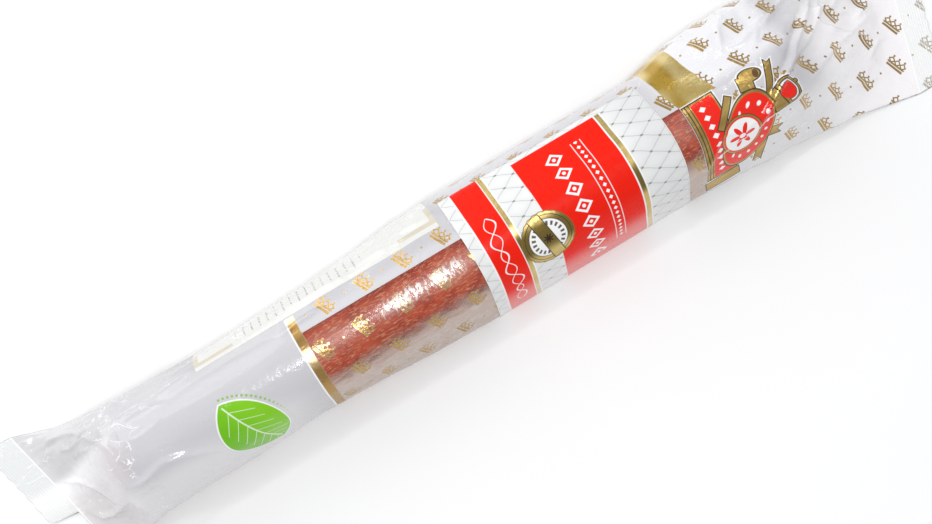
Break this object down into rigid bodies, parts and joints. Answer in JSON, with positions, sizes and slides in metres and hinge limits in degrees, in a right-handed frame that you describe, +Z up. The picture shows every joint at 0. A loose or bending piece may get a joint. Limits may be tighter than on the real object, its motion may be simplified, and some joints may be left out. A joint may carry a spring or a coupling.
{
  "type": "dry-cured sausage in a flow-wrap film",
  "caption": "Long clipped dry sausage lying in a printed, partly clear film wrap with crimped flat ends and a wraparound red and gold label.",
  "frame": {"origin": "middle of the underside of the whole pack, on the surface it lies on", "axes": "+X along the sausage towards the long loose end of the film, +Z up, +Y towards the side where the film is slack"},
  "size_m": [0.5042, 0.086, 0.0454],
  "materials": {
    "cured_meat": "thin wrinkled casing over red-brown meat with pale fat marbling, satin",
    "clip_metal": "drawn wire, pressed round the casing",
    "printed_film": "glossy packing film, white and gold print with a clear window",
    "label_paper": "coated label paper, red blocks, gold foil lines on an off-white quilt pattern"
  },
  "bodies": {
    "root": {"sausage": "cured_meat", "clip_left": "clip_metal", "clip_right": "clip_metal", "film_wrap": "printed_film", "label": "label_paper"}
  },
  "joints": []
}
